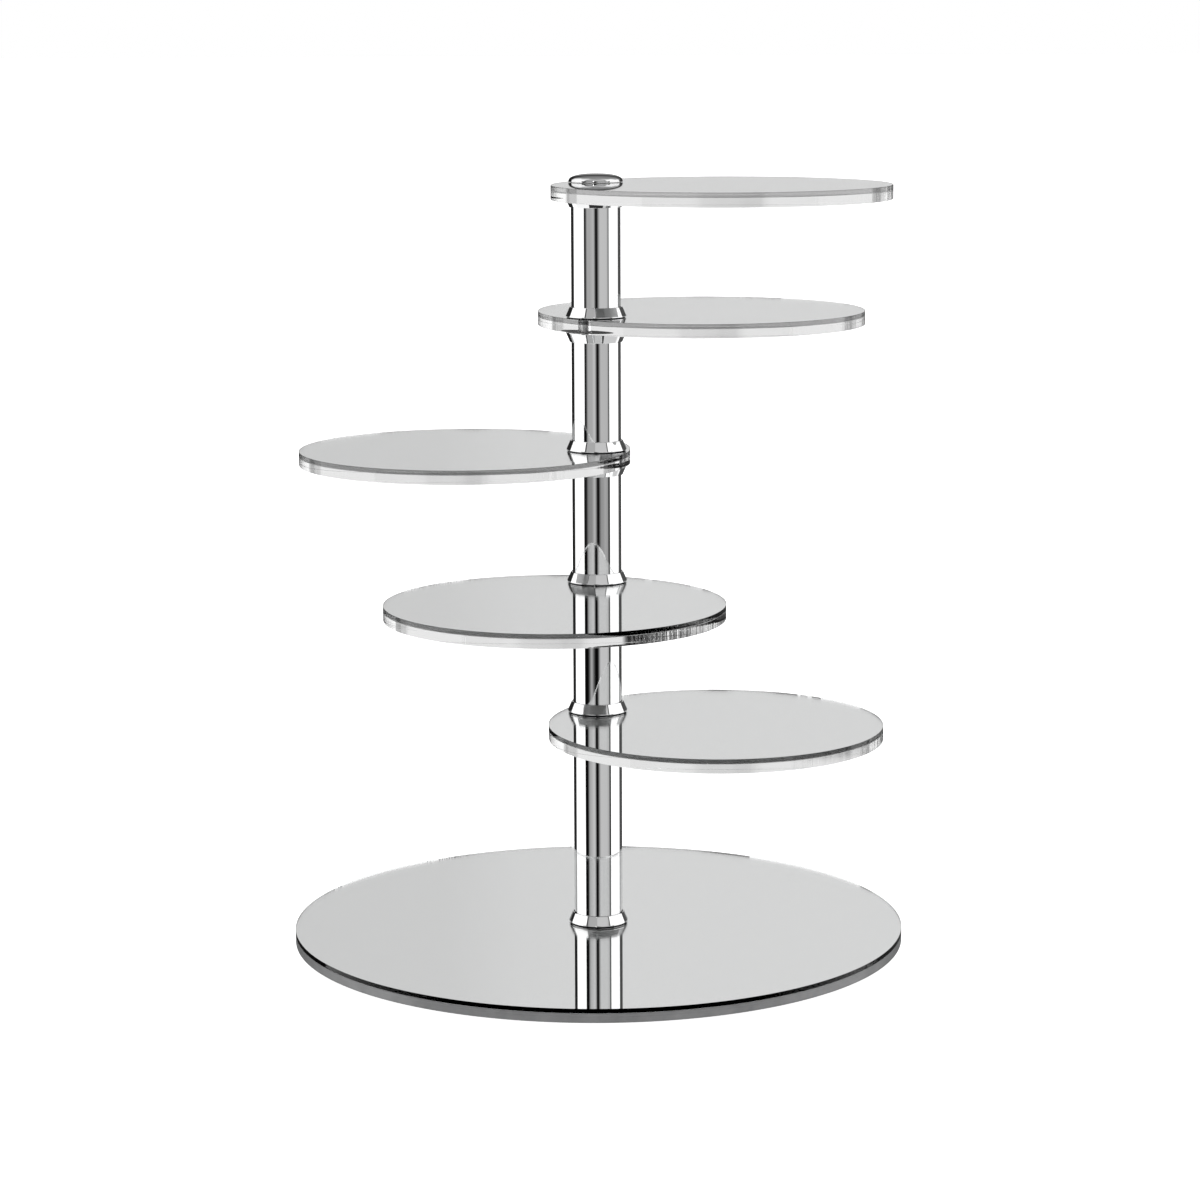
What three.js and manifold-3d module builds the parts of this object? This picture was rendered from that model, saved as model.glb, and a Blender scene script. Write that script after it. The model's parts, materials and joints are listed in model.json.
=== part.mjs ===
// A tiered cake stand: a heavy round mirrored base, a chrome column of five screwed-together
// tubes, and five round mirrored plates held off-centre between the tubes, so that they climb
// the column like a winding stair. Each plate turns about the column.
// Millimetres, +Z up. The origin is on the column's axis, at the underside of the feet.
import * as THREE from "three";
import { mergeVertices } from "three/addons/utils/BufferGeometryUtils.js";
import Module from "manifold-3d";

const wasm = await Module();
wasm.setup();

// ---- driving dimensions ----
const BASE_RADIUS = 200;
const TIER_RADIUS = 107.5;
const TIER_OFFSET = 86; // from the column's axis to a plate's centre
const MIRROR_THICK = 3; // mirrored acrylic sheet, on the base and on every tier
const BOARD_THICK = 6; // grey board under the base's mirror
const CLEAR_THICK = 6; // clear acrylic disc under each tier's mirror
const FIRST_RISE = 142; // from the base's top face to the lowest tier's top face
const RISE = 86; // from one tier's top face to the next
const TIER_ANGLES = [-28, 252, 174, 36.5, -23]; // degrees about +Z from +X, lowest tier first

const TUBE_RADIUS = 15.9; // 1 1/4 inch tube
const TUBE_WALL = 1.2;

const COLLAR = {
  height: 6.25, // the part of it that shows
  foot: 19.4, // radius of the wide end, against a plate
  lip: 16.9, // radius of the narrow end, round the tube
  edge: 0.5, // short upright land at the wide end
  seat: 2, // height of the groove's floor, where the tube stands
  spigot: 12, // how far the plug reaches into the tube past the lip
  slack: 0.15, // all round the tube's end, in its groove
};

const THREAD_RADIUS = 4; // M8
const THREAD_BORE = 4.3; // radius of a tapped hole round it
const PLATE_BORE = 4.6; // radius of the hole a plate turns on
const THREAD_GRIP = 13; // how far a thread reaches into a collar
const THREAD_CHAMFER = 0.7;

const GASKET = { thick: 0.5, inner: 5, outer: 18.8 };
const KNOB = { radius: 17.4, rim: 0.6, dome: 4.65, steps: 6 };
const WASHER = { thick: 0.25, outer: 16.4 }; // under the knob
const FOOT = { height: 2.5, top: 7, bottom: 6, taper: 1, ring: 165, count: 4 };
const SCREW = { head: 8, cone: 4, recess: 0.5, clearance: 0.4, socket: 2.9, socketDepth: 2.5 };

const ROUND = 32; // sides of a turned piece
const SMALL = 20; // sides of a small one
const DISC = 72; // sides of a plate's rim

// ---- materials ----
const standard = (color, roughness, metalness, more = {}) =>
  new THREE.MeshStandardMaterial({ color, roughness, metalness, ...more });
const chrome = standard(0xd9dbde, 0.06, 1);
const steel = standard(0xb4b6b8, 0.35, 1);
const mirror = standard(0xd2d3d4, 0.03, 1);
const clear = standard(0xeef2f3, 0.05, 0, { transparent: true, opacity: 0.35 });
const board = standard(0x8b8c8d, 0.55, 0);
const rubber = standard(0x2e2f31, 0.8, 0);
const nylon = standard(0xe4e4e2, 0.45, 0);

// ---- shape makers ----
const rad = THREE.MathUtils.degToRad;

// A solid of revolution about +Z from [radius, height] points, which go up the outside. The
// outline either starts and ends on the axis or is closed round a bore.
function turned(points, sides = ROUND) {
  const outline = points.map(([r, z]) => new THREE.Vector2(r, z));
  if (points[0][0] > 0) outline.push(outline[0].clone());
  return new THREE.LatheGeometry(outline, sides).rotateX(Math.PI / 2);
}

// A flat ring about +Z, from height 0 up.
const ring = (inner, outer, thick, sides = ROUND) =>
  turned([[inner, 0], [outer, 0], [outer, thick], [inner, thick]], sides);

const circle = (x, radius, sides) =>
  Array.from({ length: sides }, (_, i) => {
    const a = (2 * Math.PI * i) / sides;
    return new THREE.Vector2(x + radius * Math.cos(a), radius * Math.sin(a));
  });

// A round plate whose bore is off-centre: the bore's axis is +Z, and the plate lies towards +X.
function plateDisc(thick) {
  const shape = new THREE.Shape(circle(TIER_OFFSET, TIER_RADIUS, DISC));
  shape.holes.push(new THREE.Path(circle(0, PLATE_BORE, SMALL)));
  return new THREE.ExtrudeGeometry(shape, { depth: thick, bevelEnabled: false });
}

function solidOf(geometry) {
  const bare = geometry.clone();
  bare.deleteAttribute("normal");
  bare.deleteAttribute("uv");
  const merged = mergeVertices(bare, 1e-3);
  return new wasm.Manifold(
    new wasm.Mesh({
      numProp: 3,
      vertProperties: merged.attributes.position.array,
      triVerts: new Uint32Array(merged.index.array),
    }),
  );
}

function cutBy(geometry, tool) {
  const mesh = solidOf(geometry).subtract(solidOf(tool)).getMesh();
  const cut = new THREE.BufferGeometry();
  cut.setAttribute("position", new THREE.BufferAttribute(mesh.vertProperties, 3));
  cut.setIndex(new THREE.BufferAttribute(mesh.triVerts, 1));
  cut.computeVertexNormals();
  return cut;
}

// ---- turned pieces, each at its own zero height ----

// End fitting of a tube: a cone that flares onto a plate, a groove that the tube stands in, and
// a tapped plug inside the tube. Wide end at height 0.
function collarShape() {
  const { height, foot, lip, edge, seat, spigot, slack } = COLLAR;
  const plug = TUBE_RADIUS - TUBE_WALL - slack;
  return turned([
    [THREAD_BORE, 0],
    [foot, 0],
    [foot, edge],
    [lip, height],
    [TUBE_RADIUS + slack, height],
    [TUBE_RADIUS + slack, seat],
    [plug, seat],
    [plug, height + spigot],
    [THREAD_BORE, height + spigot],
  ]);
}

const tubeShape = (length) => ring(TUBE_RADIUS - TUBE_WALL, TUBE_RADIUS, length);

function studShape(length) {
  const tip = THREAD_RADIUS - THREAD_CHAMFER;
  return turned(
    [
      [0, 0],
      [tip, 0],
      [THREAD_RADIUS, THREAD_CHAMFER],
      [THREAD_RADIUS, length - THREAD_CHAMFER],
      [tip, length],
      [0, length],
    ],
    SMALL,
  );
}

// Low domed nut with its own screw. The dome's flat underside is at height 0.
function knobShape(shank) {
  const { radius, rim, dome, steps } = KNOB;
  const crown = Array.from({ length: steps + 1 }, (_, i) => {
    const a = (Math.PI / 2) * (i / steps);
    return [i === steps ? 0 : radius * Math.cos(a), rim + dome * Math.sin(a)];
  });
  return turned([
    [0, -shank],
    [THREAD_RADIUS - THREAD_CHAMFER, -shank],
    [THREAD_RADIUS, THREAD_CHAMFER - shank],
    [THREAD_RADIUS, 0],
    [radius - rim / 2, 0],
    ...crown,
  ]);
}

// Countersunk socket screw, head down. The head's flat face is at height 0.
function screwShape(length) {
  const { head, cone, socket, socketDepth } = SCREW;
  const blank = turned(
    [
      [0, 0],
      [head, 0],
      [THREAD_RADIUS, cone],
      [THREAD_RADIUS, length - THREAD_CHAMFER],
      [THREAD_RADIUS - THREAD_CHAMFER, length],
      [0, length],
    ],
    SMALL,
  );
  const hexagon = new THREE.CylinderGeometry(socket, socket, 2 * socketDepth, 6);
  return cutBy(blank, hexagon.rotateX(Math.PI / 2));
}

// The base's board, countersunk from below for the screw.
function boardShape() {
  const { head, cone, recess, clearance } = SCREW;
  return turned(
    [
      [head + clearance, 0],
      [BASE_RADIUS, 0],
      [BASE_RADIUS, BOARD_THICK],
      [PLATE_BORE, BOARD_THICK],
      [PLATE_BORE, recess + cone],
      [head + clearance, recess],
    ],
    DISC,
  );
}

function footShape() {
  const { height, top, bottom, taper } = FOOT;
  return turned([[0, 0], [bottom, 0], [top, taper], [top, height], [0, height]], SMALL);
}

// ---- assembly ----
const stand = new THREE.Group();

function add(name, geometry, material, z, parent = stand) {
  const mesh = new THREE.Mesh(geometry, material);
  mesh.name = name;
  mesh.position.z = z;
  parent.add(mesh);
  return mesh;
}

const boardUnderside = FOOT.height;
const baseTop = boardUnderside + BOARD_THICK + MIRROR_THICK;
const plateThick = MIRROR_THICK + CLEAR_THICK;
const threadEnd = GASKET.thick + THREAD_GRIP; // past a plate's face, inside a collar

// base
for (let i = 0; i < FOOT.count; i++) {
  const a = (2 * Math.PI * (i + 0.5)) / FOOT.count;
  const foot = add(`foot_${i + 1}`, footShape(), rubber, 0);
  foot.position.x = FOOT.ring * Math.cos(a);
  foot.position.y = FOOT.ring * Math.sin(a);
}
add("base_board", boardShape(), board, boardUnderside);
add("base_mirror", ring(PLATE_BORE, BASE_RADIUS, MIRROR_THICK, DISC), mirror, baseTop - MIRROR_THICK);
add("base_gasket", ring(GASKET.inner, GASKET.outer, GASKET.thick), rubber, baseTop);

const screwFoot = boardUnderside + SCREW.recess;
add("base_screw", screwShape(baseTop + threadEnd - screwFoot), steel, screwFoot);

// column: tube n stands on the face below it and ends under tier n
function tubeWithCollars(n, from, to) {
  const low = from + GASKET.thick;
  const high = to - GASKET.thick;
  add(`tube_${n}_bottom_collar`, collarShape(), chrome, low);
  add(`tube_${n}_top_collar`, collarShape(), chrome, high).rotation.x = Math.PI;
  const length = high - low - 2 * COLLAR.seat;
  add(`tube_${n}`, tubeShape(length), chrome, low + COLLAR.seat);
}

const tierTop = (n) => baseTop + FIRST_RISE + (n - 1) * RISE;
const tierUnderside = (n) => tierTop(n) - plateThick;

TIER_ANGLES.forEach((angle, i) => {
  const n = i + 1;
  tubeWithCollars(n, n === 1 ? baseTop : tierTop(n - 1), tierUnderside(n));

  const tier = new THREE.Group();
  tier.rotation.z = rad(angle);
  stand.add(tier);
  add(`tier_${n}_acrylic`, plateDisc(CLEAR_THICK), clear, tierUnderside(n), tier);
  add(`tier_${n}_mirror`, plateDisc(MIRROR_THICK), mirror, tierTop(n) - MIRROR_THICK, tier);

  const gasket = () => ring(GASKET.inner, GASKET.outer, GASKET.thick);
  add(`tier_${n}_lower_gasket`, gasket(), rubber, tierUnderside(n) - GASKET.thick);
  if (n < TIER_ANGLES.length) {
    add(`tier_${n}_upper_gasket`, gasket(), rubber, tierTop(n));
    add(`stud_${n}`, studShape(plateThick + 2 * threadEnd), steel, tierUnderside(n) - threadEnd);
  }
});

// top
const top = tierTop(TIER_ANGLES.length);
add("knob_washer", ring(GASKET.inner, WASHER.outer, WASHER.thick), nylon, top);
add("knob", knobShape(plateThick + WASHER.thick + threadEnd), chrome, top + WASHER.thick);

export default stand;
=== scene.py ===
import json
import math

import bpy
from mathutils import Euler, Matrix, Vector

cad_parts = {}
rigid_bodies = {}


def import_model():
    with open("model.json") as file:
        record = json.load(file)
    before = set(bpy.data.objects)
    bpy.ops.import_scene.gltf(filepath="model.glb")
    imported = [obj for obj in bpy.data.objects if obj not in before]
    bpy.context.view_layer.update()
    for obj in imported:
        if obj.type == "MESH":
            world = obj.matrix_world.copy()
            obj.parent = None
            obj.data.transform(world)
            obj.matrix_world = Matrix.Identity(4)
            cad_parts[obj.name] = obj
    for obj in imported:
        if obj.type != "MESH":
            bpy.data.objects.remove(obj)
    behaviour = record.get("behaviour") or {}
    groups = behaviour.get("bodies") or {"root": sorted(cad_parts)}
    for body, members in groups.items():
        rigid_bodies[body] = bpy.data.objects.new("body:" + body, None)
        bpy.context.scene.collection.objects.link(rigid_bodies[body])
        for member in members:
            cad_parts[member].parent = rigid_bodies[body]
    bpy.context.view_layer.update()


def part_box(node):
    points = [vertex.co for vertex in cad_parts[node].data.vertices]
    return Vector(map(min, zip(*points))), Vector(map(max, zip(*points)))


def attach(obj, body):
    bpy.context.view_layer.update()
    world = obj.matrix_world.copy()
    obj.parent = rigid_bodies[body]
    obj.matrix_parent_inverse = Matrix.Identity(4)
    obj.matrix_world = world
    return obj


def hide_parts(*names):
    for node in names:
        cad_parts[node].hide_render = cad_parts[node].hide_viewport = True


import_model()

scene = bpy.context.scene

# ---------------------------------------------------------------- sizes, mm unless said
TIERS = range(1, 6)
JOINED_TIERS = range(1, 5)  # those with a stud through them and a tube above
BASE_RADIUS = 200.0
TIER_RADIUS = 107.5
PLATE_BORE = 4.6
THREAD_BORE = 4.3
TUBE_RADIUS = 15.9
TUBE_BORE = 14.7
COLLAR_FOOT = 19.4
COLLAR_LIP = 16.9
COLLAR_HEIGHT = 6.25
THREAD_PITCH = 1.25
THREAD_RADIUS = 4.0
THREAD_DEPTH = 0.65
FILM = 0.12  # paint on the back of the mirrored sheet
AIR = 0.05  # between two sheets that lie on each other

ROUND = 160
DISC = 320


def mm(value):
    return value / 1000.0


def box_mm(node):
    low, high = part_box(node)
    return [v * 1000.0 for v in low], [v * 1000.0 for v in high]


# ---------------------------------------------------------------- shape makers
def rounded(corners, steps=5, support=0.06):
    """A closed outline of (r, z, fillet) corners with each fillet drawn as an arc, and a
    support point either side of it so that smooth shading stays on the fillet."""
    out = []
    count = len(corners)
    for i, (r, z, fillet) in enumerate(corners):
        here = Vector((r, z))
        if fillet <= 0:
            out.append((r, z))
            continue
        before = Vector(corners[i - 1][:2]) - here
        after = Vector(corners[(i + 1) % count][:2]) - here
        a, b = before.normalized(), after.normalized()
        half = a.angle(b) / 2
        reach = fillet / math.tan(half)
        middle = here + (a + b).normalized() * (fillet / math.sin(half))
        start, end = here + a * reach, here + b * reach
        sweep = math.pi - 2 * half
        turn = math.copysign(1.0, (start - middle).cross(end - middle))
        if before.length > reach + 2 * support:
            out.append(tuple(start + a * support))
        for k in range(steps + 1):
            angle = turn * sweep * k / steps
            arm = Matrix.Rotation(angle, 2) @ (start - middle)
            out.append(tuple(middle + arm))
        if after.length > reach + 2 * support:
            out.append(tuple(end + b * support))
    return out


def ring_points(ring, sides):
    """ring: (radius, z) or (radius, z, centre_x). radius may be a function of the angle."""
    radius, z = ring[0], ring[1]
    shift = ring[2] if len(ring) > 2 else 0.0
    points = []
    for i in range(sides):
        a = 2 * math.pi * i / sides
        r = radius(a) if callable(radius) else radius
        height = z(a) if callable(z) else z
        points.append((shift + r * math.cos(a), r * math.sin(a), height))
    return points


def loft(name, rings, sides=ROUND, closed=True, turn=0.0, place=(0.0, 0.0), sharp=40.0, slots=None):
    """A solid skinned over rings, in order up the outside. Closed joins the last ring to the
    first; otherwise the first and last rings have no radius and are single points. Slots gives
    the number of each face's material."""
    verts, rows = [], []
    for ring in rings:
        if not callable(ring[0]) and abs(ring[0]) < 1e-9:
            rows.append([len(verts)])
            verts.append((0.0, 0.0, ring[1]))
        else:
            rows.append(list(range(len(verts), len(verts) + sides)))
            verts.extend(ring_points(ring, sides))
    faces = []
    pairs = list(zip(rows, rows[1:])) + ([(rows[-1], rows[0])] if closed else [])
    for low, high in pairs:
        for i in range(sides):
            j = (i + 1) % sides
            if len(low) == 1:
                faces.append((low[0], high[j], high[i]))
            elif len(high) == 1:
                faces.append((low[i], low[j], high[0]))
            else:
                faces.append((low[i], low[j], high[j], high[i]))
    cos_t, sin_t = math.cos(turn), math.sin(turn)
    moved = [
        (mm(x * cos_t - y * sin_t + place[0]), mm(x * sin_t + y * cos_t + place[1]), mm(z))
        for x, y, z in verts
    ]
    mesh = bpy.data.meshes.new(name)
    mesh.from_pydata(moved, [], faces)
    mesh.update()
    mesh.shade_smooth()
    mesh.set_sharp_from_angle(angle=math.radians(sharp))
    if slots:
        for polygon in mesh.polygons:
            polygon.material_index = slots(polygon)
    piece = bpy.data.objects.new(name, mesh)
    scene.collection.objects.link(piece)
    return piece


def finish_piece(piece, body, slot, materials, *nodes):
    """Give a piece its materials and its moving body, and hide the CAD nodes it replaces. The slot
    argument is not used.
    """
    for material in materials:
        piece.data.materials.append(material)
    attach(piece, body)
    if nodes:
        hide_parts(*nodes)
    return piece


# ---------------------------------------------------------------- materials
CHROME = (0.9, 0.902, 0.905, 1)
ACRYLIC_IOR = 1.49


def grey(value):
    return (value, value, value, 1)


class Nodes:
    """A material's node tree with short calls to add to it."""

    def __init__(self, name):
        self.material = bpy.data.materials.new(name)
        self.material.use_nodes = True
        self.tree = self.material.node_tree
        self.shader = self.tree.nodes["Principled BSDF"]
        place = self.tree.nodes.new("ShaderNodeTexCoord")
        self.coords, self.normal = place.outputs["Object"], place.outputs["Normal"]

    def add(self, kind, **values):
        node = self.tree.nodes.new(kind)
        for key, value in values.items():
            setattr(node, key, value)
        return node

    def link(self, a, b):
        self.tree.links.new(a, b)

    def stretched(self, scale):
        mapping = self.add("ShaderNodeMapping")
        mapping.inputs["Scale"].default_value = scale
        self.link(self.coords, mapping.inputs["Vector"])
        return mapping.outputs["Vector"]

    def noise(self, scale, detail=4.0, rough=0.5, vector=None):
        node = self.add("ShaderNodeTexNoise")
        node.inputs["Scale"].default_value = scale
        node.inputs["Detail"].default_value = detail
        node.inputs["Roughness"].default_value = rough
        self.link(vector or self.coords, node.inputs["Vector"])
        return node.outputs["Fac"]

    def spread(self, value, low, high, start=0.3, end=0.7):
        node = self.add("ShaderNodeMapRange")
        node.inputs["From Min"].default_value = start
        node.inputs["From Max"].default_value = end
        node.inputs["To Min"].default_value = low
        node.inputs["To Max"].default_value = high
        self.link(value, node.inputs["Value"])
        return node.outputs["Result"]

    def tint(self, value, dark, light):
        node = self.add("ShaderNodeMix", data_type="RGBA")
        node.inputs["A"].default_value = (*dark, 1)
        node.inputs["B"].default_value = (*light, 1)
        self.link(value, node.inputs["Factor"])
        return node.outputs["Result"]

    def bump(self, height, depth, before=None):
        node = self.add("ShaderNodeBump")
        node.inputs["Strength"].default_value = 1.0
        node.inputs["Distance"].default_value = depth
        self.link(height, node.inputs["Height"])
        if before:
            self.link(before, node.inputs["Normal"])
        return node.outputs["Normal"]

    def turned_lines(self, per_metre):
        """A vector that is the same all round a turned piece: lines run round its axis."""
        split = self.add("ShaderNodeSeparateXYZ")
        self.link(self.coords, split.inputs[0])
        join = self.add("ShaderNodeCombineXYZ")
        flat = self.add("ShaderNodeCombineXYZ")
        length = self.add("ShaderNodeVectorMath", operation="LENGTH")
        self.link(split.outputs["X"], flat.inputs["X"])
        self.link(split.outputs["Y"], flat.inputs["Y"])
        self.link(flat.outputs[0], length.inputs[0])
        self.link(length.outputs["Value"], join.inputs["X"])
        self.link(split.outputs["Z"], join.inputs["Z"])
        scaled = self.add("ShaderNodeVectorMath", operation="SCALE")
        scaled.inputs["Scale"].default_value = per_metre
        self.link(join.outputs[0], scaled.inputs[0])
        return scaled.outputs["Vector"]

    def set(self, **values):
        for key, value in values.items():
            self.shader.inputs[key.replace("_", " ")].default_value = value

    def feed(self, name, value):
        self.link(value, self.shader.inputs[name])


def chrome_tube():
    m = Nodes("chrome_tube")
    m.set(Metallic=1.0, Base_Color=CHROME)
    m.feed("Roughness", m.spread(m.noise(45, 6, 0.6), 0.012, 0.045))
    draw = m.noise(1.0, 3, 0.5, m.stretched((700, 700, 6)))
    sway = m.noise(1.0, 1, 0.4, m.stretched((28, 28, 9)))
    m.feed("Normal", m.bump(draw, 0.0000012, m.bump(sway, 0.00012)))
    return m.material


def chrome_turned():
    m = Nodes("chrome_turned")
    m.set(Metallic=1.0, Base_Color=CHROME)
    m.feed("Roughness", m.spread(m.noise(120, 5, 0.6), 0.015, 0.05))
    lines = m.noise(1.0, 2, 0.5, m.turned_lines(2600))
    sway = m.noise(60, 2, 0.5)
    m.feed("Normal", m.bump(lines, 0.0000015, m.bump(sway, 0.00008)))
    return m.material


def chrome_knob():
    m = Nodes("chrome_knob")
    m.set(Metallic=1.0, Base_Color=(0.76, 0.762, 0.765, 1), Specular_Tint=grey(0.42))
    m.feed("Roughness", m.spread(m.noise(90, 6, 0.65), 0.015, 0.05))
    m.feed("Normal", m.bump(m.noise(70, 2, 0.5), 0.00004))
    return m.material


def zinc_steel():
    m = Nodes("zinc_steel")
    m.set(Metallic=1.0)
    cloud = m.noise(260, 6, 0.6)
    m.feed("Base Color", m.tint(m.spread(cloud, 0, 1), (0.5, 0.5, 0.49), (0.68, 0.69, 0.7)))
    m.feed("Roughness", m.spread(m.noise(700, 5, 0.6), 0.24, 0.42))
    m.feed("Normal", m.bump(m.noise(2200, 3, 0.6), 0.000008))
    return m.material


def clear_face():
    """Polished face of acrylic sheet, with faint smears."""
    m = Nodes("acrylic_face")
    m.set(Base_Color=(0.99, 0.993, 0.992, 1), IOR=ACRYLIC_IOR, Transmission_Weight=1.0)
    smear = m.noise(1.0, 5, 0.6, m.stretched((14, 38, 14)))
    m.feed("Roughness", m.spread(smear, 0.0, 0.012, 0.5, 0.75))
    m.feed("Normal", m.bump(m.noise(9, 1, 0.4), 0.00001))
    return m.material


def cut_edge(name, tone, gloss):
    """Cut edge of acrylic sheet: fine saw marks run straight across it, deepest on the +X flank."""
    m = Nodes(name)
    # a tone below 1 darkens what passes through the edge, and a gloss of 0 takes its reflection
    # away: on the mirror sheet this is painted shade
    m.set(Base_Color=grey(tone), Specular_Tint=grey(gloss))
    m.set(IOR=ACRYLIC_IOR, Transmission_Weight=1.0)
    marks = m.noise(1.0, 2, 0.6, m.stretched((300, 300, 4)))
    waves = m.noise(1.0, 2, 0.5, m.stretched((110, 110, 4)))
    facing = m.add("ShaderNodeSeparateXYZ")
    m.link(m.normal, facing.inputs[0])
    depth = m.spread(facing.outputs["X"], 0.06, 1.0, 0.3, 0.55)
    deep = m.add("ShaderNodeMath", operation="MULTIPLY")
    m.link(marks, deep.inputs[0])
    m.link(depth, deep.inputs[1])
    m.feed("Roughness", m.spread(marks, 0.005, 0.04))
    m.feed("Normal", m.bump(deep.outputs[0], 0.00035, m.bump(waves, 0.00015)))
    return m.material


def silver():
    m = Nodes("silver_back")
    m.set(Metallic=1.0, Base_Color=(0.93, 0.935, 0.935, 1), Specular_Tint=grey(0.8))
    m.feed("Roughness", m.spread(m.noise(30, 4, 0.5), 0.0, 0.01))
    return m.material


def backing_paint():
    m = Nodes("backing_paint")
    cloud = m.noise(24, 6, 0.6)
    m.feed("Base Color", m.tint(m.spread(cloud, 0, 1), (0.5, 0.503, 0.505), (0.56, 0.563, 0.565)))
    m.feed("Roughness", m.spread(m.noise(500, 3, 0.5), 0.4, 0.55))
    m.feed("Normal", m.bump(m.noise(1500, 2, 0.6), 0.000006))
    return m.material


def grey_board():
    """Grey laminate board; its cut edge is sanded round the rim."""
    m = Nodes("grey_board")
    sanding = m.noise(1.0, 5, 0.65, m.turned_lines(1900))
    cloud = m.noise(55, 5, 0.6)
    both = m.add("ShaderNodeMath", operation="ADD")
    m.link(sanding, both.inputs[0])
    m.link(cloud, both.inputs[1])
    tone = m.spread(both.outputs[0], 0, 1, 0.8, 1.2)
    m.feed("Base Color", m.tint(tone, (0.13, 0.131, 0.133), (0.185, 0.187, 0.189)))
    m.feed("Roughness", m.spread(m.noise(900, 4, 0.6), 0.3, 0.45))
    m.feed("Normal", m.bump(sanding, 0.000018, m.bump(m.noise(1400, 3, 0.6), 0.00001)))
    return m.material


def rubber():
    m = Nodes("rubber")
    cloud = m.noise(300, 5, 0.6)
    m.feed("Base Color", m.tint(m.spread(cloud, 0, 1), (0.02, 0.02, 0.021), (0.04, 0.04, 0.042)))
    m.feed("Roughness", m.spread(m.noise(900, 4, 0.6), 0.6, 0.85))
    m.feed("Normal", m.bump(m.noise(2600, 3, 0.6), 0.00002))
    return m.material


def nylon():
    m = Nodes("white_nylon")
    cloud = m.noise(200, 4, 0.5)
    m.feed("Base Color", m.tint(m.spread(cloud, 0, 1), (0.72, 0.72, 0.7), (0.8, 0.8, 0.79)))
    m.feed("Roughness", m.spread(m.noise(700, 4, 0.6), 0.35, 0.5))
    m.feed("Normal", m.bump(m.noise(1800, 3, 0.6), 0.000008))
    return m.material


CHROME_TUBE, CHROME_TURNED, CHROME_KNOB = chrome_tube(), chrome_turned(), chrome_knob()
ZINC, FACE, SILVER = zinc_steel(), clear_face(), silver()
# the mirror sheet's edge takes a grey tint of 0.62 and no specular tint: painted shade that makes
# the rim of each mirrored sheet look dark
EDGE, SHADED_MIRROR_EDGE = cut_edge("acrylic_edge", 0.985, 1.0), cut_edge("mirror_edge_painted_shade", 0.62, 0.0)
PAINT, BOARD, RUBBER, NYLON = backing_paint(), grey_board(), rubber(), nylon()


# ---------------------------------------------------------------- plates
EASE = 0.12  # fillet round a sheet's rim
BORE_BREAK = 0.15  # chamfer at each end of a sheet's hole
FLAT = 0.9  # a face whose normal's z passes this is level


def sheet_rings(radius, hole, low, high, centre, fillet=EASE):
    """Rings of a flat round sheet with a hole on the axis. The rim's middle may be off it."""
    rim = rounded([(0, low, 0), (radius, low, fillet), (radius, high, fillet), (0, high, 0)], 3)
    outer = [(r, z, centre) for r, z in rim if r > 1]
    bore = [
        (hole + BORE_BREAK, high, 0.0), (hole, high - BORE_BREAK, 0.0),
        (hole, low + BORE_BREAK, 0.0), (hole + BORE_BREAK, low, 0.0),
    ]
    return outer + bore


def edge_or_face(polygon):
    """0 for a sheet's level faces and 1 for its edges."""
    return 0 if abs(polygon.normal.z) > FLAT else 1


def plate_place(n):
    """(centre distance, turn) of a tier's plate from its node's box."""
    low, high = box_mm(f"tier_{n}_mirror")
    x, y = (low[0] + high[0]) / 2, (low[1] + high[1]) / 2
    return math.hypot(x, y), math.atan2(y, x)


def mirror_sheet(body, node, radius, centre, turn):
    """Clear sheet, silvered underneath, with paint over the silver."""
    box_low, box_high = box_mm(node)
    low, high = box_low[2], box_high[2]
    back = low + FILM
    name = node + "_sheet"

    def which(polygon):
        if polygon.normal.z < -FLAT and polygon.center.z < mm(back + 0.01):
            return 2
        return edge_or_face(polygon)

    rings = sheet_rings(radius, PLATE_BORE, back, high, centre)
    sheet = loft(name, rings, DISC, turn=turn, slots=which)
    # the sheet's rim takes the edge material with painted shade in its grey tint
    finish_piece(sheet, body, "mirror_acrylic", [FACE, SHADED_MIRROR_EDGE, SILVER], node)
    rings = sheet_rings(radius - 0.15, PLATE_BORE + 0.1, low + 0.01, back - 0.01, centre, 0.03)
    film = loft(name + "_backing", rings, DISC, turn=turn)
    finish_piece(film, body, "mirror_acrylic", [PAINT])


for n in TIERS:
    distance, turn = plate_place(n)
    mirror_sheet(f"tier_{n}", f"tier_{n}_mirror", TIER_RADIUS, distance, turn)
    low, high = box_mm(f"tier_{n}_acrylic")
    rings = sheet_rings(TIER_RADIUS, PLATE_BORE, low[2], high[2] - AIR, distance)
    disc = loft(f"tier_{n}_clear_disc", rings, DISC, turn=turn, slots=edge_or_face)
    finish_piece(disc, f"tier_{n}", "clear_acrylic", [FACE, EDGE], f"tier_{n}_acrylic")

mirror_sheet("stand", "base_mirror", BASE_RADIUS, 0.0, 0.0)

# ---------------------------------------------------------------- base board, feet and screw
SCREW_HEAD, SCREW_CONE, SCREW_RECESS, SCREW_ROOM = 8.0, 4.0, 0.5, 0.4
low, high = box_mm("base_board")
board = loft(
    "base_board_panel",
    rounded([
        (SCREW_HEAD + SCREW_ROOM, low[2], 0.1),
        (BASE_RADIUS, low[2], 0.5),
        (BASE_RADIUS, high[2] - AIR, 0.25),
        (PLATE_BORE, high[2] - AIR, 0.1),
        (PLATE_BORE, low[2] + SCREW_RECESS + SCREW_CONE, 0),
        (SCREW_HEAD + SCREW_ROOM, low[2] + SCREW_RECESS, 0),
    ], 4),
    DISC,
)
finish_piece(board, "stand", "grey_board", [BOARD], "base_board")

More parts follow.
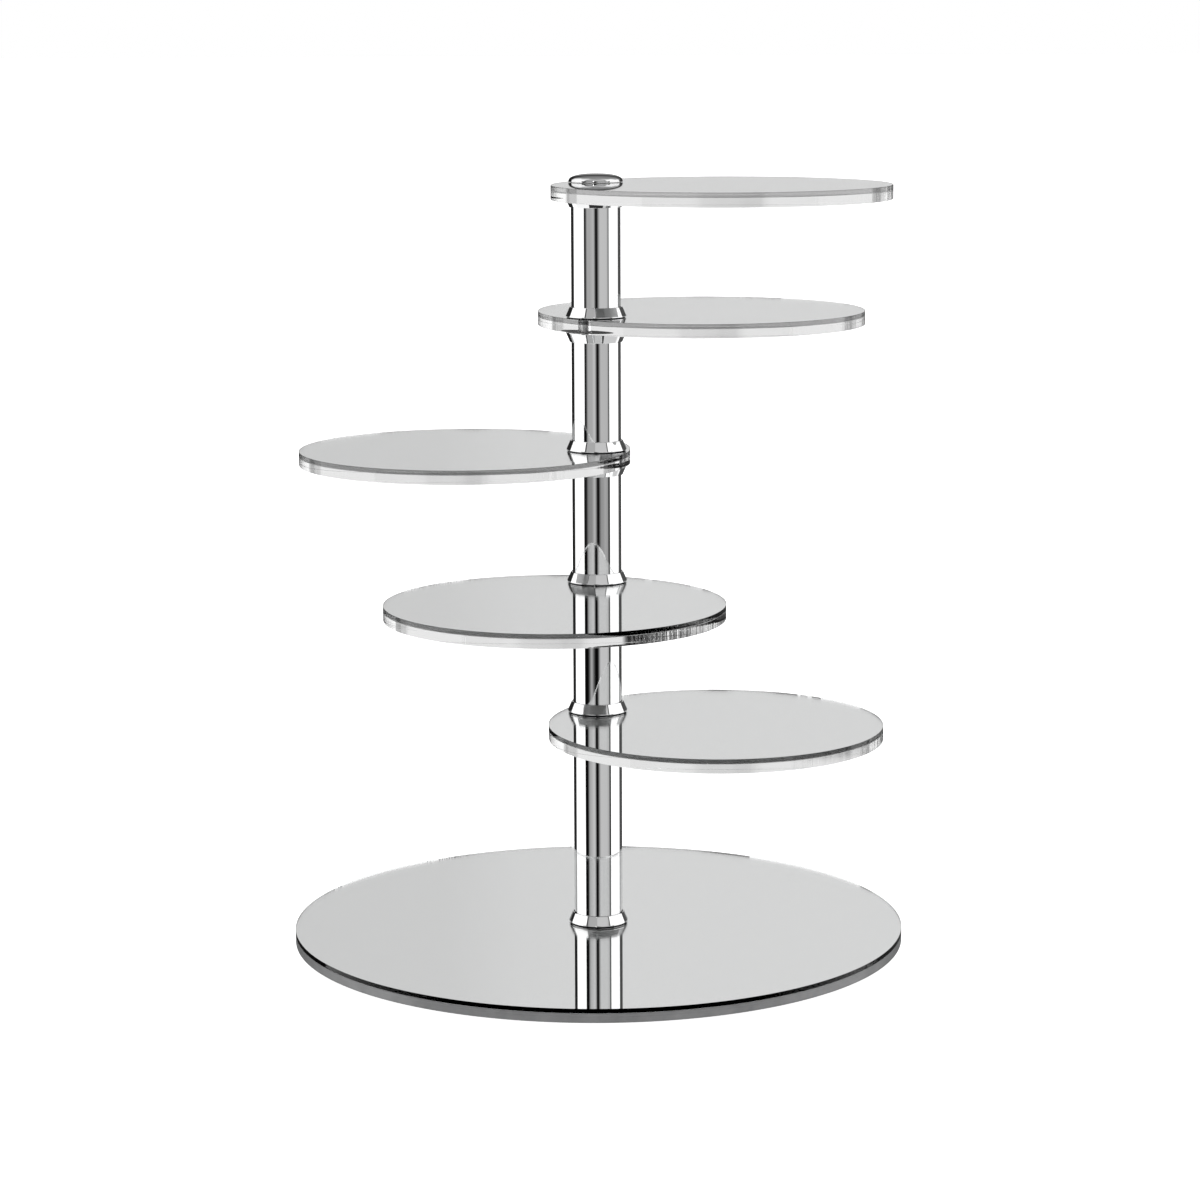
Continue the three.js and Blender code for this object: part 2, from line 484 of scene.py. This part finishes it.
FOOT_SOLE, FOOT_RADIUS = 6.2, 7.0
for i in range(1, 5):
    low, high = box_mm(f"foot_{i}")
    x, y = (low[0] + high[0]) / 2, (low[1] + high[1]) / 2
    outline = rounded([
        (0, low[2], 0), (FOOT_SOLE, low[2], 0.5), (FOOT_RADIUS, low[2] + 1.2, 0.4),
        (FOOT_RADIUS, high[2], 0.1), (0, high[2], 0),
    ], 4)
    foot = loft(f"rubber_foot_{i}", outline, 48, closed=False, place=(x, y))
    finish_piece(foot, "stand", "foot_rubber", [RUBBER], f"foot_{i}")


FLANK, TRUNCATION = 1.3, 0.1  # slope of a thread's flank, and how much of its crest is flat
CREST_ROOM = 0.02


def threaded(z0, z1, rows_per_turn=8):
    """Rings of a right-hand thread from z0 up to z1, faded out at both ends."""
    rows = max(4, round((z1 - z0) / THREAD_PITCH * rows_per_turn))
    rings = []
    for k in range(rows + 1):
        z = z0 + (z1 - z0) * k / rows
        fade = min(1.0, (z - z0) / THREAD_PITCH, (z1 - z) / THREAD_PITCH)

        def radius(a, z=z, fade=fade):
            phase = (z / THREAD_PITCH - a / (2 * math.pi)) % 1.0
            crest = min(1.0, max(0.0, abs(phase - 0.5) * 2 * FLANK - TRUNCATION))
            return THREAD_RADIUS - CREST_ROOM - THREAD_DEPTH * (1 - crest * fade)

        rings.append((radius, z))
    return rings


def hexagon(apothem):
    """Radius of a hexagon at each angle, from half its width across the flats."""
    return lambda a: apothem / math.cos((a % (math.pi / 3)) - math.pi / 6)


low, high = box_mm("base_screw")
SOCKET, SOCKET_DEPTH, SOCKET_BREAK, HEAD_BREAK = 2.9, 2.5, 0.25, 0.3
screw_rings = [
    (0, low[2] + SOCKET_DEPTH + 0.8),
    (hexagon(SOCKET), low[2] + SOCKET_DEPTH),
    (hexagon(SOCKET), low[2] + SOCKET_BREAK),
    (hexagon(SOCKET + SOCKET_BREAK), low[2]),
    (SCREW_HEAD - HEAD_BREAK, low[2]),
    (SCREW_HEAD, low[2] + HEAD_BREAK),
    (THREAD_RADIUS, low[2] + SCREW_CONE),
]
screw_rings += threaded(low[2] + SCREW_CONE + 0.3, high[2] - 0.5)
screw_rings += [(THREAD_RADIUS - THREAD_DEPTH - 0.5, high[2]), (0, high[2])]
screw = loft("base_socket_screw", screw_rings, 48, closed=False)
finish_piece(screw, "stand", "zinc_steel", [ZINC], "base_screw")

# ---------------------------------------------------------------- column
SEAT = 2.0  # how far a tube's end stands above the collar's wide end
SPIGOT = 12.0  # the plug's length past the collar's lip
SLACK = 0.15  # between the plug and the tube
GROOVE = 0.3  # between the tube and the collar's lip


def collar(name, node):
    """A flared collar with its plug and the groove between them, which is packed with rubber."""
    low, high = box_mm(node)
    up = "bottom" in node  # a tube's bottom collar has its wide end down
    foot = low[2] if up else high[2]
    way = 1 if up else -1
    plug = TUBE_BORE - SLACK
    profile = [
        (THREAD_BORE, 0, 0.2),
        (COLLAR_FOOT, 0, 0.12),
        (COLLAR_FOOT, 0.5, 0.12),
        (COLLAR_LIP, COLLAR_HEIGHT, 0.18),
        (TUBE_RADIUS + GROOVE, COLLAR_HEIGHT, 0.1),
        (TUBE_RADIUS + GROOVE, SEAT, 0),
        (plug, SEAT, 0),
        (plug, COLLAR_HEIGHT + SPIGOT, 0.4),
        (THREAD_BORE, COLLAR_HEIGHT + SPIGOT, 0.3),
    ]
    rings = [(r, foot + way * z) for r, z in rounded(profile, 4)]
    if not up:
        rings.reverse()

    def which(polygon):
        across = math.hypot(*polygon.center[:2])
        deep = abs(polygon.center.z - mm(foot)) < mm(COLLAR_HEIGHT - 0.1)
        return 1 if deep and mm(plug) < across < mm(TUBE_RADIUS + GROOVE + 0.02) else 0

    piece = loft(name, rings, ROUND, slots=which)
    finish_piece(piece, "stand", "chrome_collar", [CHROME_TURNED, RUBBER], node)


for n in TIERS:
    for end in ("bottom", "top"):
        collar(f"collar_{n}_{end}", f"tube_{n}_{end}_collar")
    low, high = box_mm(f"tube_{n}")
    outline = rounded([
        (TUBE_BORE, low[2], 0.2), (TUBE_RADIUS, low[2], 0.3),
        (TUBE_RADIUS, high[2], 0.3), (TUBE_BORE, high[2], 0.2),
    ], 4)
    tube = loft(f"column_tube_{n}", outline, 192)
    finish_piece(tube, "stand", "chrome_tube", [CHROME_TUBE], f"tube_{n}")

# ---------------------------------------------------------------- gaskets
gaskets = ["base_gasket", "knob_washer"] + [f"tier_{n}_lower_gasket" for n in TIERS]
gaskets += [f"tier_{n}_upper_gasket" for n in JOINED_TIERS]
GASKET_BORE = 5.0
for node in gaskets:
    low, high = box_mm(node)
    outer = (high[0] - low[0]) / 2
    edge = 0.3 * (high[2] - low[2])
    outline = rounded([
        (GASKET_BORE, low[2], 0.05), (outer, low[2], edge),
        (outer, high[2], edge), (GASKET_BORE, high[2], 0.05),
    ], 3, 0.02)
    if node == "knob_washer":
        washer = loft("nylon_washer", outline, 96)
        finish_piece(washer, "washer", "white_nylon", [NYLON], node)
    else:
        seal = loft(node.replace("gasket", "seal"), outline, 96)
        finish_piece(seal, "stand", "gasket_rubber", [RUBBER], node)

# ---------------------------------------------------------------- knob
low, high = box_mm("knob")
KNOB_RADIUS, KNOB_TOP = 17.4, high[2]
KNOB_SIDE = 0.15  # height of the knob's rim before the dome begins
SHANK_RADIUS = THREAD_RADIUS - 0.5  # plain part of its screw
knob_under = box_mm("knob_washer")[1][2]
knob_rings = [(0, low[2]), (THREAD_RADIUS - THREAD_DEPTH - 0.4, low[2])]
knob_rings += threaded(low[2] + 0.4, knob_under - 1.0)
knob_rings += [
    (SHANK_RADIUS, knob_under - 0.6), (SHANK_RADIUS, knob_under), (THREAD_RADIUS, knob_under),
    (KNOB_RADIUS - 0.12, knob_under), (KNOB_RADIUS - 0.03, knob_under + 0.04),
]
# the dome is a superellipse: with a fullness of 1 it would be an ellipse, and less is squarer
STEPS, FULLNESS = 28, 0.8
dome_foot = knob_under + KNOB_SIDE
for k in range(STEPS + 1):
    a = math.pi / 2 * k / STEPS
    r = 0.0 if k == STEPS else KNOB_RADIUS * math.cos(a) ** FULLNESS
    knob_rings.append((r, dome_foot + (KNOB_TOP - dome_foot) * math.sin(a) ** FULLNESS))
knob = loft("top_knob", knob_rings, 96, closed=False, sharp=50)
finish_piece(knob, "knob", "chrome_knob", [CHROME_KNOB], "knob")

# the studs are shut inside the column, so the CAD shapes stay and take the material
for n in JOINED_TIERS:
    stud = next(o for o in bpy.data.objects if o.name == f"stud_{n}")
    stud.data.materials.clear()
    stud.data.materials.append(ZINC)

# ---------------------------------------------------------------- camera
CAMERA_SIDE, CAMERA_BACK, CAMERA_UP = 0.0018, 2.111, 0.585  # metres, up from the base's top
CAMERA_PITCH, CAMERA_ROLL = 9.93, 0.004  # degrees down, and radians
LENS, SENSOR = 98.64, 36.0
base_top = box_mm("base_mirror")[1][2]
camera_data = bpy.data.cameras.new("camera")
camera_data.lens, camera_data.sensor_width = LENS, SENSOR
camera_data.clip_start, camera_data.clip_end = 0.05, 200.0
camera = bpy.data.objects.new("camera", camera_data)
camera.location = (CAMERA_SIDE, -CAMERA_BACK, mm(base_top) + CAMERA_UP)
level = Euler((math.radians(90 - CAMERA_PITCH), 0, 0)).to_matrix()
aim = level @ Matrix.Rotation(-CAMERA_ROLL, 3, "Z")
camera.rotation_euler = aim.to_euler()
scene.collection.objects.link(camera)
scene.camera = camera

# ---------------------------------------------------------------- floor
floor_mesh = bpy.data.meshes.new("floor")
FAR, FLOOR_DROP = 60.0, 0.0002  # metres: half the floor's width, and its gap under the feet
corners = [(-FAR, -FAR, 0), (FAR, -FAR, 0), (FAR, FAR, 0), (-FAR, FAR, 0)]
floor_mesh.from_pydata(corners, [], [(0, 1, 2, 3)])
floor = bpy.data.objects.new("floor", floor_mesh)
floor.location.z = -FLOOR_DROP
scene.collection.objects.link(floor)
floor.visible_glossy = False
floor.visible_transmission = False
paper = Nodes("floor_paper")
paper.set(Base_Color=grey(0.9), Roughness=1.0, Specular_IOR_Level=0.0)
paper.set(Emission_Color=grey(1), Emission_Strength=0.9)
floor_mesh.materials.append(paper.material)

# ---------------------------------------------------------------- studio, seen by direction
world = bpy.data.worlds.new("studio")
scene.world = world
world.use_nodes = True
tree = world.node_tree
tree.nodes.clear()


def wnode(kind, **values):
    node = tree.nodes.new(kind)
    for key, value in values.items():
        setattr(node, key, value)
    return node


def wmath(operation, a, b=None):
    node = wnode("ShaderNodeMath", operation=operation)
    for i, value in enumerate((a, b)):
        if value is None:
            continue
        if isinstance(value, (int, float)):
            node.inputs[i].default_value = value
        else:
            tree.links.new(value, node.inputs[i])
    return node.outputs[0]


direction = wnode("ShaderNodeTexCoord").outputs["Generated"]
axes = wnode("ShaderNodeSeparateXYZ")
tree.links.new(direction, axes.inputs[0])
x, y, z = axes.outputs
# part of a turn: 0 in front, where the camera stands, positive to the right of it
around = wmath("DIVIDE", wmath("ARCTAN2", x, wmath("MULTIPLY", y, -1.0)), 2 * math.pi)
height = wmath("DIVIDE", wmath("ARCSINE", z), math.pi / 2)  # -1 straight down, 1 straight up


RAMP_GAIN = 2.0  # a ramp holds values up to 1, and a softbox is brighter


def band(stops, reach):
    """Brightness at one height, from stops between -reach and reach degrees."""
    node = wnode("ShaderNodeValToRGB")
    ramp = node.color_ramp
    ramp.elements.remove(ramp.elements[-1])
    for i, (degrees, value) in enumerate(stops):
        position = 0.5 + degrees / (2 * reach)
        element = ramp.elements[0] if i == 0 else ramp.elements.new(position)
        element.position = position
        element.color = grey(value / RAMP_GAIN)
    tree.links.new(wmath("ADD", wmath("MULTIPLY", around, 180 / reach), 0.5), node.inputs["Fac"])
    return wmath("MULTIPLY", node.outputs["Color"], RAMP_GAIN)


def flats(*spans):
    """Stops for flat spans (from, to, value), with a soft edge of a degree between them."""
    stops = []
    for start, end, value in spans:
        stops += [(start + 0.5, value), (end - 0.5, value)]
    return stops


def rise(start, end):
    """0 below one elevation and 1 above another, in degrees."""
    node = wnode("ShaderNodeMapRange", interpolation_type="SMOOTHSTEP")
    node.inputs["From Min"].default_value = start / 90
    node.inputs["From Max"].default_value = end / 90
    tree.links.new(height, node.inputs["Value"])
    return node.outputs["Result"]


def blend(lower, upper, factor):
    node = wnode("ShaderNodeMix", data_type="FLOAT")
    for socket, value in (("Factor", factor), ("A", lower), ("B", upper)):
        if isinstance(value, float):
            node.inputs[socket].default_value = value
        else:
            tree.links.new(value, node.inputs[socket])
    return node.outputs["Result"]


def stack(reach, layers):
    """Bands one above another: (lowest elevation, width of the change, stops), lowest first."""
    result = band(layers[0][2], reach)
    for lowest, width, stops in layers[1:]:
        result = blend(result, band(stops, reach), rise(lowest - width / 2, lowest + width / 2))
    return result


SOFTBOX, DARK = 1.3, 0.003  # brightness of a softbox and of a black flat

# in front, between the softboxes: a black flat either side of two grey ones, with a dark gap.
# Each stop is (degrees to the right of the camera, brightness).
FRONT = 70.0  # degrees either side that these bands cover
FRONT_MARGIN = 2.0
AROUND = 180.0
by_tube_1 = [
    (-70, SOFTBOX), (-62, SOFTBOX), (-61, DARK), (-47, DARK), (-42, 0.28), (-36, 0.42),
    (-28, 0.49), (-20, 0.58), (-16, 0.58), (-12, 0.44), (-9, 0.17), (-7, DARK), (1, DARK),
    (4, 0.1), (8, 0.3), (12, 0.5), (16, 0.57), (44, 0.56), (55, 0.4), (57.5, DARK), (64, DARK),
    (65.5, SOFTBOX),
]
by_tube_2 = [
    (-70, SOFTBOX), (-62.5, SOFTBOX), (-61.5, DARK), (-44, DARK), (-37, 0.12), (-32, 0.3),
    (-28, 0.42), (-25, 0.38), (-20, 0.2), (-14, 0.06), (-9, DARK), (2, DARK), (7, 0.12),
    (11, 0.38), (16, 0.58), (46, 0.58), (55, 0.42), (58, 0.02), (65, 0.02), (66.5, SOFTBOX),
]
by_tube_3 = [
    (-70, SOFTBOX), (-62.5, SOFTBOX), (-61.5, DARK), (-48, 0.02), (-43, 0.16), (-38, 0.24),
    (-22, 0.28), (-17, 0.38), (-11, 0.5), (-7, 0.42), (-2, 0.2), (1, 0.04), (4, DARK), (9, DARK),
    (12, 0.06), (17, 0.22), (21, 0.31), (30, 0.33), (40, 0.41), (52, 0.35), (57, 0.03),
    (64, 0.03), (65.5, SOFTBOX),
]
by_tube_4 = [
    (-70, SOFTBOX), (-58, SOFTBOX), (-57, 0.02), (-48, 0.02), (-43, 0.28), (-38, 0.42),
    (-20, 0.44), (-11, 0.57), (-7, 0.54), (-3, 0.3), (0, 0.1), (3, DARK), (8, DARK), (12, 0.1),
    (16, 0.34), (21, 0.51), (50, 0.5), (55, 0.4), (57.5, 0.13), (62.5, 0.13), (64, SOFTBOX),
]
by_tube_5 = [
    (-70, SOFTBOX), (-58, SOFTBOX), (-57, 0.03), (-49, 0.03), (-43, 0.32), (-40, 0.42),
    (-30, 0.4), (-11, 0.5), (-7, 0.28), (-4, 0.08), (-1, DARK), (4, DARK), (8, 0.09), (12, 0.29),
    (16, 0.5), (21, 0.57), (50, 0.56), (55, 0.42), (58, 0.22), (62.5, 0.22), (64, SOFTBOX),
]
# the same as a mirror sends it up, where the tubes stand on the plates
by_mirror = [
    (-70, SOFTBOX), (-62, SOFTBOX), (-61, DARK), (-48, DARK), (-43, 0.28), (-38, 0.48),
    (-28, 0.56), (-18, 0.64), (-14, 0.5), (-10, 0.2), (-8, DARK), (-1, DARK), (2, 0.1),
    (7, 0.44), (12, 0.64), (40, 0.64), (53, 0.55), (58, 0.12), (63, 0.12), (64.5, SOFTBOX),
]
by_knob = flats((-70, -52, SOFTBOX), (-52, 50, 0.09), (50, 70, SOFTBOX))
above = flats(
    (-70, -52, SOFTBOX), (-52, -46, 0.06), (-46, -6, 0.44), (-6, 46, 0.6), (46, 51, 0.12),
    (51, 70, SOFTBOX),
)
front = stack(FRONT, [
    (-90, 0, flats((-70, -35, 1.05), (-35, 40, 0.03), (40, 70, 0.65))),
    (-33, 6, by_tube_1),
    (-12.1, 0.3, by_tube_2),
    (-9.8, 0.3, by_tube_3),
    (-7.5, 0.3, by_tube_4),
    (-5.2, 0.3, by_tube_5),
    (1, 1, by_mirror),
    (18, 1, by_knob),
    (28, 3, above),
    (56, 8, flats((-70, 0, 0.68), (0, 70, 0.58))),
    (76, 8, flats((-70, 70, 0.3))),
])

# at the sides and behind: softboxes, then dark, with a pale backdrop straight behind
BACKDROP_LEFT = [(-180, 0.7), (-178.6, 0.69), (-177.3, 0.64), (-174, 0.63)]
BACKDROP_RIGHT = [(174, 0.71), (180, 0.705)]
level = flats((-173, -124, 0.02), (-124, 123, SOFTBOX), (123, 173, 0.08))
raised = flats(
    (-180, -172, 0.14), (-172, -133, 0.05), (-133, 128, SOFTBOX), (128, 145, 0.3), (145, 180, 0.14),
)
high_up = flats(
    (-180, -165, 0.3), (-165, -150, 0.25), (-150, -135, 0.7), (-135, 112, SOFTBOX),
    (112, 150, 0.45), (150, 180, 0.3),
)
ceiling = flats(
    (-180, -150, 0.33), (-150, -120, 0.5), (-120, -60, 0.95), (-60, 100, 0.75), (100, 180, 0.36),
)
rest = stack(AROUND, [
    (-90, 0, flats((-180, -150, 0.8), (-150, -35, 1.05), (-35, 110, 0.65), (110, 180, 0.8))),
    (-33, 6, BACKDROP_LEFT + level + BACKDROP_RIGHT),
    (18, 2, raised),
    (33, 10, high_up),
    (56, 8, ceiling),
    (76, 8, flats((-180, 180, 0.36))),
])

# what comes through clear acrylic: the same, but with a paler room in place of the dark, and a
# black screen in it at the heights that tier 2 is looked through at
right_side = flats((-124, 124, SOFTBOX), (124, 134, 0.5), (134, 173, 0.8)) + BACKDROP_RIGHT
pale = BACKDROP_LEFT + flats((-173, -134, 0.8), (-134, -124, 0.4)) + right_side
screened = (
    BACKDROP_LEFT + flats((-173, -164, 0.8), (-164, -141, 0.0), (-141, -124, 0.45)) + right_side
)
through = stack(AROUND, [
    (-90, 0, pale),
    (-12.6, 0.4, screened),
    (-9.9, 0.3, pale),
    (9.9, 0.3, screened),
    (12.6, 0.4, pale),
])
in_front = wmath("LESS_THAN", wmath("ABSOLUTE", around), (FRONT - FRONT_MARGIN) / 360)
light_path = wnode("ShaderNodeLightPath")
studio = blend(rest, through, light_path.outputs["Is Transmission Ray"])
studio = blend(studio, front, in_front)

# a small bare lamp above the camera and a little left of it
LAMP_SIDE, LAMP_HEIGHT, LAMP_SPREAD = -9, 26, 2.6  # degrees
LAMP_POWER = 12.0
lamp = Vector((math.sin(math.radians(LAMP_SIDE)), -1.0, math.tan(math.radians(LAMP_HEIGHT))))
lamp.normalize()
dot = wnode("ShaderNodeVectorMath", operation="DOT_PRODUCT")
tree.links.new(direction, dot.inputs[0])
dot.inputs[1].default_value = lamp
spot = wmath("GREATER_THAN", dot.outputs["Value"], math.cos(math.radians(LAMP_SPREAD)))
studio = wmath("ADD", studio, wmath("MULTIPLY", spot, LAMP_POWER))

reflected = wnode("ShaderNodeBackground")
tree.links.new(studio, reflected.inputs["Color"])
backdrop = wnode("ShaderNodeBackground")
backdrop.inputs["Color"].default_value = (1, 1, 1, 1)
seen = light_path.outputs["Is Camera Ray"]
mix = wnode("ShaderNodeMixShader")
tree.links.new(seen, mix.inputs[0])
tree.links.new(reflected.outputs[0], mix.inputs[1])
tree.links.new(backdrop.outputs[0], mix.inputs[2])
tree.links.new(mix.outputs[0], wnode("ShaderNodeOutputWorld").inputs["Surface"])

# ---------------------------------------------------------------- lights and colour
overhead_data = bpy.data.lights.new("overhead", "AREA")
overhead_data.shape = "RECTANGLE"
overhead_data.size, overhead_data.size_y = 1.6, 1.2  # metres
overhead_data.energy = 9.0  # watts
overhead = bpy.data.objects.new("overhead", overhead_data)
overhead.location = (0.2, -0.4, 2.2)
overhead.rotation_euler = Vector((0.2, -0.4, 2.0)).to_track_quat("Z", "Y").to_euler()
overhead.visible_glossy = False
scene.collection.objects.link(overhead)

scene.view_settings.view_transform = "Standard"
scene.view_settings.look = "None"
scene.cycles.max_bounces = 24
scene.cycles.glossy_bounces = 14
scene.cycles.transmission_bounces = 20
